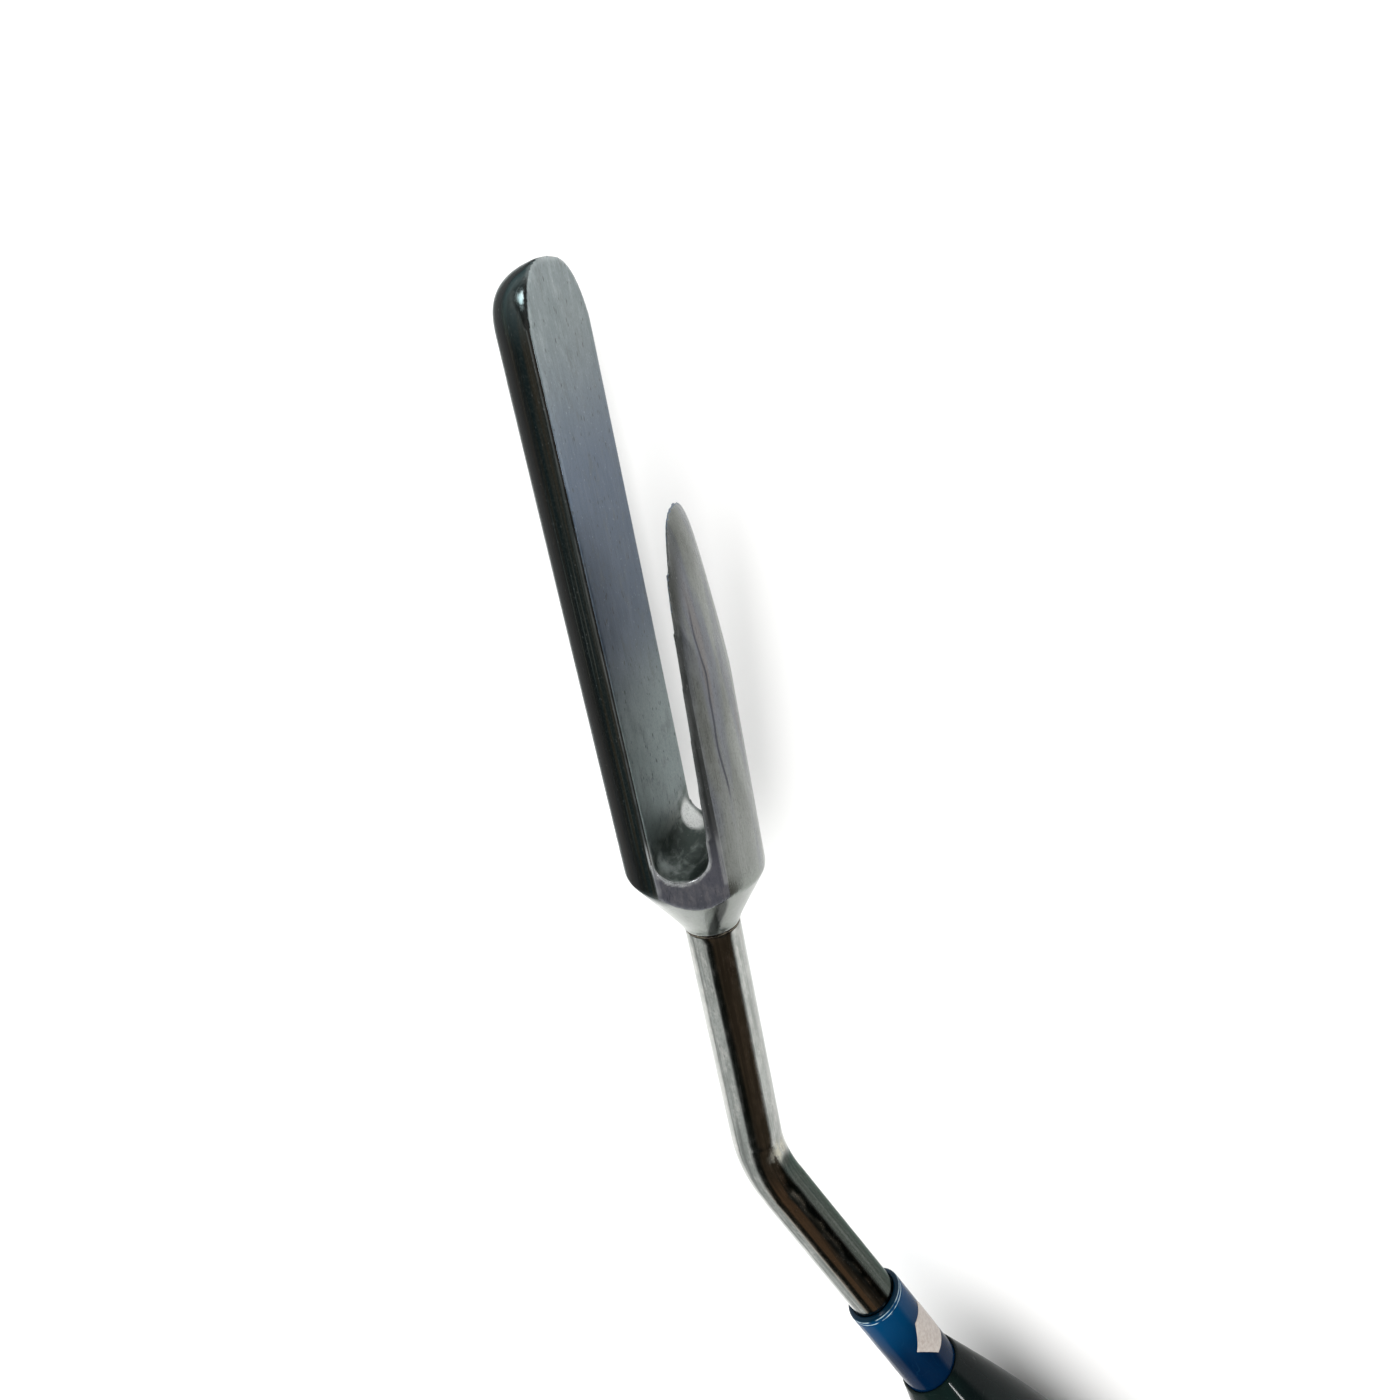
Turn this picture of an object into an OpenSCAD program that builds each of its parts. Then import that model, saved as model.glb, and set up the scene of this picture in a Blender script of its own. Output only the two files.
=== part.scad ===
// Fork-headed hive tool: a slotted round steel head brazed to a bent rod, with a sleeve and a turned handle.
// It lies flat with its two tines, its shank and its handle in one level plane. +Y runs along the head to
// the tips, +X goes to the side of the short tine, and the handle leaves towards -Y and +X.

/* [Head] */
// Diameter of the bar that the head is made from
head_d = 19.4; // [16:0.2:24]
// Length of the long tine, from the neck joint to its tip
long_l = 89; // [75:1:110]
// Length of the short tine, from the neck joint to its point
short_l = 60.2; // [50:0.2:72]
// Length of the rounded nose on the long tine
long_nose_l = 12; // [8:0.5:16]
// Length of the tapering nose on the short tine
short_nose_l = 26; // [18:0.5:32]
// Length of the neck, from the joint up to the full bar
neck_l = 11; // [9:0.5:14]
// Distance from the shank's axis to the bar's axis, away from the short tine
head_offset = 0.75; // [0:0.05:1]

/* [Slot] */
// Width of the slot at its round root
slot_w = 7; // [5:0.2:9]
// Distance from the head's axis to the flat inner face of the long tine
slot_wall = 2.2; // [1:0.1:3]
// Height of the centre of the slot's round root above the neck joint
slot_root = 15.6; // [14:0.2:24]
// Lean of the short tine's inner face, in degrees
slot_lean = 2.3; // [0:0.1:4]
// Depth of the flat milled on the front of the crotch and of the short tine
flat_depth = 1.08; // [0.6:0.02:1.6]

/* [Shank] */
// Diameter of the round shank
rod_d = 8; // [6:0.1:9.4]
// Length from the neck joint to the corner of the bend
upper_l = 44.9; // [34:0.1:60]
// Angle of the bend, in degrees
bend_angle = 26.4; // [10:0.2:40]
// Radius of the bend, at the middle of the rod
bend_r = 24; // [14:1:40]
// Length from the corner of the bend to the front lip of the sleeve
lower_l = 31.7; // [26:0.5:50]
// Diameter of the spigot that enters the head
spigot_d = 5.4; // [4:0.1:5.6]
// Length of the spigot
spigot_l = 8; // [5:0.5:9]
// Length of the tang inside the handle
tang_l = 64; // [45:1:70]

/* [Sleeve] */
// Wall of the sleeve
sleeve_t = 0.86; // [0.6:0.02:1.4]
// Length of the sleeve that shows in front of the handle
sleeve_l = 17.2; // [12:0.2:24]
// Length of the sleeve that sits inside the handle
sleeve_seat = 4; // [2:0.5:8]
// Size of the six-sided mark on the sleeve, across its flats
mark_w = 7; // [4:0.1:8]
// Distance from the sleeve's front lip to the middle of the mark
mark_at = 9.6; // [6:0.1:11]

/* [Handle] */
// Length of the handle
handle_l = 112; // [95:1:135]
// Largest diameter of the handle
belly_d = 29; // [25:0.5:34]
// Distance from the handle's front to its largest diameter
belly_at = 50; // [40:1:56]
// Diameter of the waist
waist_d = 24.6; // [21:0.2:25]
// Distance from the handle's front to its waist
waist_at = 79; // [70:1:84]
// Diameter of the butt
butt_d = 27; // [25:0.5:32]
// Radius of the butt's rounded edge
butt_round = 8; // [5:0.5:10]
// Diameter of the hanging hole
hang_d = 6.4; // [4:0.2:7]
// Distance from the end of the butt to the hanging hole
hang_at = 13; // [12:0.5:16]
// Diameter of the cross pin that holds the tang
pin_d = 3; // [2:0.5:3]

/* [Fits] */
// Radial clearance between the spigot and the head's socket
braze_gap = 0.05; // [0.02:0.01:0.1]
// Radial clearance of the sleeve on the shank
sleeve_gap = 0.04; // [0.01:0.01:0.1]
// Radial clearance of the handle around the tang and the sleeve
handle_gap = 0.04; // [0.01:0.01:0.1]
// Radial clearance of the tang pin in its bore
pin_gap = 0.02; // [0.01:0.01:0.1]
// Radial clearance of the eyelet in the handle
eyelet_gap = 0.02; // [0.01:0.01:0.1]

/* [Hidden] */
$fn = 96;

head_r = head_d / 2;
rod_r = rod_d / 2;
sleeve_r = rod_r + sleeve_gap + sleeve_t;
braze_t = 0.35;            // thickness of the braze layer in the neck joint
foot_r = rod_r + 0.12;     // end face of the neck, a little larger than the shank
foot_l = 0.75;             // from the joint to where the neck's cone starts
foot_hollow = 0.8;         // length over which the cone rises out of the foot
nose_shift = 3.8;          // the short nose is round about an axis this far past the bar's axis
socket_floor = 0.4;        // free depth past the end of the spigot
slot_r = slot_w / 2;
slot_x = slot_r - slot_wall;
// The flat begins at the long tine's inner face, so its turn follows from its depth
flat_r = head_r - flat_depth;
flat_turn = acos(flat_r / head_r) - asin(slot_wall / head_r);
bend_in = bend_r * tan(bend_angle / 2); // from the corner of the bend to its two ends
bend_draw = 0.02;          // the rod draws this much thinner round the bend
handle_x = lower_l + sleeve_l;          // from the corner of the bend to the handle's front
front_r = sleeve_r + handle_gap + 0.35; // thin lip of the handle around the sleeve
eyelet_wall = 0.8;
eyelet_r = hang_d / 2 + eyelet_wall;
flange_r = eyelet_r + 1.6;
flange_t = 0.8;
hang_half = 10;            // half the distance between the seats of the eyelet's flanges
pin_at = 34;               // from the handle's front to the cross pin
pin_sunk = 0.6;
film_t = 0.05;             // thickness of the mark's film

// Outer box of the whole tool, from the neck joint, for an origin under its middle
butt_x = handle_x + handle_l - butt_round;
butt_in = butt_d / 2 - butt_round;
x_low = -head_offset - head_r;
x_high = butt_x * sin(bend_angle) + butt_in * cos(bend_angle) + butt_round;
y_low = -upper_l - butt_x * cos(bend_angle) - butt_in * sin(bend_angle) - butt_round;
y_high = long_l;
z_low = -belly_d / 2;

// Blend from 0 to 1 with level ends
function ease(t) = (1 - cos(180 * t)) / 2;

// Radius of the handle at a distance x from its front
function handle_r(x) =
    x < belly_at ? front_r + (belly_d / 2 - front_r) * sin(90 * x / belly_at)
    : x < waist_at ? belly_d / 2 + (waist_d - belly_d) / 2 * ease((x - belly_at) / (waist_at - belly_at))
    : waist_d / 2 + (butt_d - waist_d) / 2 * ease((x - waist_at) / (handle_l - butt_round - waist_at));

// Half the width of a blunt nose of length l at a distance x from its base
function blunt(x, l) = head_r * pow(1 - pow(x / l, 2.6), 1 / 2.6);

// Radius of the short tine's nose at a part t of its length, a slow taper that ends in a round point
function short_nose(t) = head_r + nose_shift - short_nose_l * (0.085 * pow(t, 1.3) + 0.045 * pow(t, 14));

// Rise of the neck at a height y, a cone with a hollow foot
function rise(y) = (y - foot_l + norm([y - foot_l, foot_hollow])) / 2;

// Radius of the neck at a height y; it reaches the far side of the bar at the full length of the neck
function neck_r(y) =
    foot_r + (head_r + head_offset - foot_r) * (rise(y) - rise(braze_t)) / (rise(neck_l) - rise(braze_t));

module place() translate([-(x_low + x_high) / 2, -(y_low + y_high) / 2, -z_low]) children();

// Frame of the lower rod: +Y runs back down the rod from the corner of the bend
module lower() translate([0, -upper_l, 0]) rotate([0, 0, bend_angle - 180]) children();

// Lays a body that stands on +Z along +Y
module along() rotate([-90, 0, 0]) children();

// Turns a profile of [radius, distance] points into a body along +Y
module turned(points) along() rotate_extrude() polygon(points);

// Cross bore for the tang pin, through a body of the given thickness
module pin_bore(thick) translate([0, handle_x + pin_at, 0])
    cylinder(r = pin_d / 2 + pin_gap, h = thick + 2, center = true);

// Bar with the long tine's nose at its tip, cut down to the neck at its foot
module bar() {
    wide = head_d + head_offset;
    top = long_l + 1;
    base = long_l - long_nose_l;
    neck_top = neck_l + 2;
    dome_l = 0.6 * long_nose_l; // the nose is also rounded towards the back of the tine, but over less length
    foot = [for (i = [0:16]) let (y = braze_t + (neck_top - braze_t) * i / 16) [neck_r(y), y]];
    dome = [for (i = [0:14]) let (x = dome_l * sin(90 * i / 14)) [blunt(x, dome_l), long_l - dome_l + x]];
    edge = [for (i = [0:16]) let (x = long_nose_l * sin(90 * i / 16)) [base + x, blunt(x, long_nose_l)]];
    intersection() {
        translate([-head_offset, 0, 0]) turned(concat([[0, braze_t], [head_r, braze_t]], dome));
        turned(concat([[0, braze_t]], foot, [[wide, neck_top], [wide, top], [0, top]]));
        translate([-wide, 0, 0]) rotate([90, 0, 90]) linear_extrude(2 * wide) polygon(concat(
            [[0, wide], [base, wide]], edge, [for (i = [15:-1:0]) [edge[i][0], -edge[i][1]]],
            [[base, -wide], [0, -wide]]));
    }
}

// Everything outside the short tine's own nose, on its side of the slot
module short_cut() {
    out = head_d;
    base = short_l - short_nose_l;
    top = long_l + 1;
    intersection() {
        translate([slot_x, base - 1, -out]) cube([out, top, 2 * out]);
        translate([-nose_shift, 0, 0]) turned(concat(
            [[2 * out, base]], [for (i = [0:18]) let (t = sin(90 * i / 18)) [short_nose(t), base + short_nose_l * t]],
            [[0, short_l], [0, top], [2 * out, top]]));
    }
}

// Through slot: two flat walls, one of them leaning, and a round root that is tangent to both
module slot() {
    root = [for (a = [180:7.5:360 - slot_lean]) [slot_x + slot_r * cos(a), slot_root + slot_r * sin(a)]];
    lean_x = slot_x + slot_r * cos(slot_lean);
    lean_y = slot_root - slot_r * sin(slot_lean);
    top = long_l + 1;
    translate([0, 0, -head_r - 1]) linear_extrude(head_d + 2)
        polygon(concat(root, [[lean_x, lean_y], [lean_x + (top - lean_y) * tan(slot_lean), top], [-slot_wall, top]]));
}

module fork_head() color([0.45, 0.47, 0.48]) place() difference() {
    bar();
    translate([-head_offset, 0, 0]) {
        short_cut();
        slot();
        // Flat on the front of the crotch and of the short tine
        rotate([0, flat_turn, 0]) translate([-head_r, -1, flat_r]) cube([head_d, long_l + 2, head_r]);
    }
    // Socket for the spigot
    along() cylinder(r = spigot_d / 2 + braze_gap, h = spigot_l + socket_floor);
}

module shank() color([0.62, 0.62, 0.62]) place() difference() {
    union() {
        translate([0, -upper_l + bend_in, 0]) along() cylinder(r = rod_r, h = upper_l - bend_in);
        along() cylinder(d = spigot_d, h = spigot_l);
        translate([bend_r, -upper_l + bend_in, 0]) rotate([0, 0, 180])
            rotate_extrude(angle = bend_angle) translate([bend_r, 0]) circle(rod_r - bend_draw);
        lower() translate([0, bend_in, 0]) along() cylinder(r = rod_r, h = handle_x + tang_l - bend_in);
    }
    lower() pin_bore(rod_d);
}

module braze_ring() color([0.55, 0.5, 0.4]) place()
    turned([[spigot_d / 2 + braze_gap, 0], [(rod_r + foot_r) / 2, 0], [foot_r, braze_t],
            [spigot_d / 2 + braze_gap, braze_t]]);

module sleeve() color([0.02, 0.32, 0.6]) place() lower() {
    lip = sleeve_t * 0.7;
    bore = rod_r + sleeve_gap;
    arc = [for (a = [0:15:90]) [sleeve_r - lip + lip * sin(a), lower_l + lip - lip * cos(a)]];
    turned(concat([[bore, lower_l]], arc, [[sleeve_r, handle_x + sleeve_seat], [bore, handle_x + sleeve_seat]]));
}

module mark() color([0.95, 0.93, 0.93]) place() lower() intersection() {
    turned([[sleeve_r, lower_l], [sleeve_r + film_t, lower_l], [sleeve_r + film_t, handle_x], [sleeve_r, handle_x]]);
    translate([0, lower_l + mark_at, 0]) rotate([0, -90, 0])
        cylinder(d = mark_w / cos(30), h = sleeve_r * 2, $fn = 6);
}

module handle() color([0.03, 0.07, 0.06]) place() lower() {
    last = handle_x + handle_l;
    steps = 40;
    side = [for (i = [0:steps]) let (x = (handle_l - butt_round) * i / steps) [handle_r(x), handle_x + x]];
    edge = [for (a = [10:10:90]) [butt_in + butt_round * cos(a), butt_x + butt_round * sin(a)]];
    seat_r = sleeve_r + handle_gap;
    bore_r = rod_r + handle_gap;
    seat_y = handle_x + sleeve_seat + 0.2;
    end_y = handle_x + tang_l + 1;
    difference() {
        turned(concat([[0, handle_x]], side, edge, [[0, last]]));
        turned([[0, 0], [seat_r, 0], [seat_r, seat_y], [bore_r, seat_y], [bore_r, end_y], [0, end_y]]);
        pin_bore(belly_d);
        translate([0, last - hang_at, 0]) {
            cylinder(r = eyelet_r + eyelet_gap, h = belly_d + 2, center = true);
            for (side = [0, 1]) mirror([0, 0, side]) translate([0, 0, hang_half])
                cylinder(r = flange_r + 0.4, h = belly_d);
        }
    }
}

module tang_pin() color([0.7, 0.7, 0.7]) place() lower()
    translate([0, handle_x + pin_at, 0]) cylinder(r = pin_d / 2, h = 2 * (handle_r(pin_at) - pin_sunk), center = true);

module eyelet() color([0.7, 0.68, 0.6]) place() lower() translate([0, handle_x + handle_l - hang_at, 0])
    rotate_extrude() polygon([
        [hang_d / 2, -hang_half - flange_t], [flange_r, -hang_half - flange_t], [flange_r, -hang_half],
        [eyelet_r, -hang_half], [eyelet_r, hang_half], [flange_r, hang_half],
        [flange_r, hang_half + flange_t], [hang_d / 2, hang_half + flange_t]]);

fork_head();
shank();
braze_ring();
sleeve();
mark();
handle();
tang_pin();
eyelet();
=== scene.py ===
import math

import bmesh
import bpy
import numpy as np
from mathutils import Matrix, Vector


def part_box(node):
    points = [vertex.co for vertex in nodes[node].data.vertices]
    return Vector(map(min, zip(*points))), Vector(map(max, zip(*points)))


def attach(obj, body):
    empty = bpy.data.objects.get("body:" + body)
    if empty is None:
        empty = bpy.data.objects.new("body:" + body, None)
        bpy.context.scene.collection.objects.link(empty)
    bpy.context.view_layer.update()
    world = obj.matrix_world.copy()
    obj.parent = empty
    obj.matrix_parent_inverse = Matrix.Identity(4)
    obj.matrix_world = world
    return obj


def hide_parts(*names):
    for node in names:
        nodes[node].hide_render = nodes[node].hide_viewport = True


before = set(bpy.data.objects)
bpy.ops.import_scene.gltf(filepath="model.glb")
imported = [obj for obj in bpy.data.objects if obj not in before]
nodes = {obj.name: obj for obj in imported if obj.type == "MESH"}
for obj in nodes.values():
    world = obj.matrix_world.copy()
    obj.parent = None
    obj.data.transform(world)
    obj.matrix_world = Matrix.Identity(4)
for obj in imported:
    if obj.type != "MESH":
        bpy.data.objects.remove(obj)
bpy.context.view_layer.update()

# ---------------------------------------------------------------- sizes, in mm, as part.scad has them
MM = 0.001
HEAD_R = 9.7
HEAD_OFFSET = 0.75
BRAZE_T = 0.35
SLOT_R = 3.5
SLOT_WALL = 2.2
SLOT_ROOT = 15.6
SLOT_LEAN = math.radians(2.3)
FLAT_R = HEAD_R - 1.08
FLAT_TURN = math.acos(FLAT_R / HEAD_R) - math.asin(SLOT_WALL / HEAD_R)
ROD_R = 4.0
UPPER_L = 44.9
BEND = math.radians(26.4)
BEND_R = 24.0
SPIGOT_R = 2.7
SPIGOT_L = 8.0
LOWER_L = 31.7
TANG_L = 64.0
SLEEVE_R = 4.9
SLEEVE_BORE = 4.04
SLEEVE_L = 17.2
SLEEVE_SEAT = 4.0
LIP = 0.6
HANDLE_X = LOWER_L + SLEEVE_L
HANDLE_L = 112.0
FRONT_R = 5.29
BELLY_R, BELLY_AT = 14.5, 50.0
WAIST_R, WAIST_AT = 12.3, 79.0
BUTT_R, BUTT_ROUND = 13.5, 8.0
SEAT_R = 4.94
HANG_AT, HANG_R = 13.0, 3.2
EYELET_R, FLANGE_R, FLANGE_T, HANG_HALF = 4.0, 5.6, 0.8, 10.0
PIN_AT, PIN_R = 34.0, 1.5

# ---------------------------------------------------------------- how the visible meshes are made, in mm
FIT = 0.02
# The head's grid and its rounds of smoothing, and the rounds more that the end of the long tine gets
HEAD_CELL, HEAD_PASSES = ((0.28, 6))
TIP_Y, TIP_X, TIP_PASSES = 77, -3.9, 24
# The curvature, per mm, where the bright edge line starts, and how much more makes it full: the line is partly
# wear and partly a painted edge highlight
EDGE_LINE_FROM, EDGE_LINE_SPAN = 0.5, 0.7
# How near to a slot wall or to the flat a face counts as part of it
ZONE_NEAR = 0.16
SHARP = math.radians(35)

# The neck joint lies at this point of the row frame: it follows from the head's box
head_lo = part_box("fork_head")[0]
ORIGIN = np.array([head_lo.x / MM + HEAD_OFFSET + HEAD_R, head_lo.y / MM - BRAZE_T, BELLY_R])
LOWER = np.array([[-math.cos(BEND), math.sin(BEND), 0.0],
                  [-math.sin(BEND), -math.cos(BEND), 0.0],
                  [0.0, 0.0, 1.0]])
CORNER = np.array([0.0, -UPPER_L, 0.0])


def from_lower(points):
    """From the lower rod's own frame, where +Y goes down it from the bend's corner, to the neck joint's."""
    return CORNER + np.asarray(points, float) @ LOWER.T


# ---------------------------------------------------------------- materials
class Net:
    """A Principled material with short calls for the nodes that feed it. Its points are in mm.

    grain is "rest", for the piece's own straightened frame, or "object", for the model's frame.
    """

    def __init__(self, name, grain="rest", **fixed):
        self.mat = bpy.data.materials.new(name)
        self.mat.use_nodes = True
        self.tree = self.mat.node_tree
        self.tree.nodes.clear()
        self.bsdf = self.add("ShaderNodeBsdfPrincipled")
        out = self.add("ShaderNodeOutputMaterial")
        self.tree.links.new(self.bsdf.outputs[0], out.inputs[0])
        for key, value in fixed.items():
            self.bsdf.inputs[key.replace("_", " ")].default_value = value
        if grain == "rest":
            self.point = self.add("ShaderNodeAttribute", attribute_name="rest").outputs["Vector"]
        else:
            place = self.add("ShaderNodeTexCoord").outputs["Object"]
            self.point = self.vec("SCALE", place, Scale=1 / MM)

    def add(self, kind, **props):
        node = self.tree.nodes.new(kind)
        for key, value in props.items():
            setattr(node, key, value)
        return node

    def put(self, socket, value):
        if isinstance(value, bpy.types.NodeSocket):
            self.tree.links.new(value, socket)
        else:
            socket.default_value = value

    def vec(self, operation, a, b=None, Scale=None):
        node = self.add("ShaderNodeVectorMath", operation=operation)
        self.put(node.inputs[0], a)
        if b is not None:
            self.put(node.inputs[1], b)
        if Scale is not None:
            self.put(node.inputs["Scale"], Scale)
        return node.outputs[0]

    def noise(self, scale, detail=3.0, rough=0.5, shift=(0, 0, 0), warp=0.0):
        node = self.add("ShaderNodeTexNoise")
        place = self.vec("MULTIPLY", self.point, scale)
        self.put(node.inputs["Vector"], self.vec("ADD", place, shift))
        node.inputs["Scale"].default_value = 1.0
        node.inputs["Detail"].default_value = detail
        node.inputs["Roughness"].default_value = rough
        node.inputs["Distortion"].default_value = warp
        return node.outputs[0]

    def cells(self, scale, shift=(0, 0, 0)):
        node = self.add("ShaderNodeTexVoronoi")
        place = self.vec("MULTIPLY", self.point, scale)
        self.put(node.inputs["Vector"], self.vec("ADD", place, shift))
        node.inputs["Scale"].default_value = 1.0
        return node.outputs["Distance"]

    def fit(self, value, lo, hi, to_lo=0.0, to_hi=1.0):
        node = self.add("ShaderNodeMapRange", interpolation_type="SMOOTHSTEP")
        for socket, v in zip(node.inputs, (value, lo, hi, to_lo, to_hi)):
            self.put(socket, v)
        return node.outputs[0]

    def math(self, operation, a, b=0.0, clamp=False):
        node = self.add("ShaderNodeMath", operation=operation, use_clamp=clamp)
        self.put(node.inputs[0], a)
        self.put(node.inputs[1], b)
        return node.outputs[0]

    def axis(self, name):
        node = self.add("ShaderNodeSeparateXYZ")
        self.put(node.inputs[0], self.point)
        return node.outputs["XYZ".index(name)]

    def near(self, centre, radius, soft):
        """1 near a point of the grain's frame, 0 past radius + soft."""
        gap = self.vec("SUBTRACT", self.point, centre)
        node = self.add("ShaderNodeVectorMath", operation="LENGTH")
        self.put(node.inputs[0], gap)
        return self.fit(node.outputs["Value"], radius, radius + soft, 1.0, 0.0)

    def edge(self):
        return self.add("ShaderNodeAttribute", attribute_name="edge").outputs["Fac"]

    def mix(self, amount, a, b):
        node = self.add("ShaderNodeMix", data_type="RGBA")
        self.put(node.inputs[0], amount)
        self.put(node.inputs[6], a if isinstance(a, bpy.types.NodeSocket) else (*a, 1.0))
        self.put(node.inputs[7], b if isinstance(b, bpy.types.NodeSocket) else (*b, 1.0))
        return node.outputs[2]

    def colour(self, value):
        self.put(self.bsdf.inputs["Base Color"], value)

    def rough(self, value):
        self.put(self.bsdf.inputs["Roughness"], value)

    def bump(self, height, depth, normal=None):
        """Relief from a height of 0 to 1 that stands for depth mm."""
        node = self.add("ShaderNodeBump")
        node.inputs["Strength"].default_value = 1.0
        node.inputs["Distance"].default_value = depth * MM
        self.put(node.inputs["Height"], height)
        if normal is not None:
            self.put(node.inputs["Normal"], normal)
        self.put(self.bsdf.inputs["Normal"], node.outputs[0])
        return node.outputs[0]


def pits(net, size, share, shift=(0, 0, 0)):
    """Scattered small spots, about size mm across, on a share of the surface."""
    spot = net.fit(net.cells((1 / size, 0.5 / size, 1 / size), shift), 0.12, 0.30, 1.0, 0.0)
    where = net.fit(net.noise((0.5 / size,) * 3, 1.0, 0.5, shift), 0.66 - share, 0.70 - share)
    return net.math("MULTIPLY", spot, where)


def line(net, scale, width, level=0.5, shift=(0, 0, 0), warp=0.0):
    """Thin wandering lines, where a stretched noise crosses a level."""
    field = net.noise(scale, 1.0, 0.4, shift, warp)
    gap = net.math("ABSOLUTE", net.math("SUBTRACT", field, level))
    return net.fit(gap, 0.0, width, 1.0, 0.0)


def steel(name, dark, mid, light, rough, streak, spots, tint, grain_depth=0.004, metal=1.0):
    """Satin steel: mottled tone, lengthwise streaks, pits, fine scratches and a bright edge line that is partly
    wear and partly a painted edge highlight.
    """
    net = Net(name, Metallic=metal)
    cloud = net.noise((0.10, 0.05, 0.10), 4.0, 0.6)
    fine = net.noise((0.9, 0.35, 0.9), 4.0, 0.65, (7, 3, 1))
    lengthwise = net.noise((2.6, 0.035, 2.6), 3.0, 0.6, (3, 9, 4))
    hair = net.noise((14.0, 0.12, 14.0), 2.0, 0.5, (5, 2, 8))
    tone = net.mix(net.fit(cloud, 0.36, 0.64), dark, mid)
    tone = net.mix(net.fit(fine, 0.42, 0.72), tone, light)
    tone = tint(net, tone)
    veil = net.math("MULTIPLY", net.fit(lengthwise, 0.45, 0.72), streak)
    tone = net.mix(veil, tone, tuple(c * 0.45 for c in dark))
    scratch = line(net, (1.1, 0.05, 1.1), 0.004, 0.47, (21, 4, 2), 0.3)
    tone = net.mix(net.math("MULTIPLY", scratch, 0.5), tone, tuple(c * 0.3 for c in dark))
    spot = pits(net, 0.75, 0.12)
    speck = pits(net, 0.30, 0.06, (11, 5, 3))
    dust = net.noise((5.0, 3.0, 5.0), 2.0, 0.7, (5, 5, 5))
    tone = net.mix(net.fit(dust, 0.45, 0.7, 0.0, 0.30), tone, tuple(c * 0.5 for c in dark))
    tone = net.mix(net.math("MULTIPLY", spot, spots), tone, tuple(c * 0.35 for c in dark))
    tone = net.mix(net.math("MULTIPLY", speck, 0.25 * spots), tone, (0.75, 0.77, 0.78))
    # The bright edge line is partly wear and partly a painted edge highlight, strongest from 11 to 20 mm along the
    # piece
    patchy = net.math("MULTIPLY", net.edge(), net.fit(net.noise((0.8, 0.3, 0.8), 2.0), 0.3, 0.6, 0.35, 1.0))
    rim = net.math("MULTIPLY", net.fit(net.axis("Y"), 20.0, 16.0), net.fit(net.axis("Y"), 10.6, 11.4))
    tone = net.mix(net.math("MULTIPLY", patchy, net.fit(rim, 0.0, 1.0, 0.10, 0.60)), tone, (0.55, 0.57, 0.57))
    net.colour(tone)
    lo, hi = rough
    blend = net.math("ADD", net.math("MULTIPLY", fine, 0.6), net.math("MULTIPLY", hair, 0.4))
    level = net.fit(blend, 0.35, 0.65, lo, hi)
    net.rough(net.math("SUBTRACT", level, net.math("MULTIPLY", patchy, 0.1), clamp=True))
    first = net.bump(hair, grain_depth)
    grit = net.noise((2.2, 1.1, 2.2), 3.0, 0.6, (4, 4, 4))
    second = net.bump(net.math("SUBTRACT", grit, net.math("MULTIPLY", spot, 0.6)), grain_depth * 3, normal=first)
    net.bump(net.noise((0.18, 0.06, 0.18), 2.0, 0.5, (2, 8, 5)), 0.10, normal=second)
    return net


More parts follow.
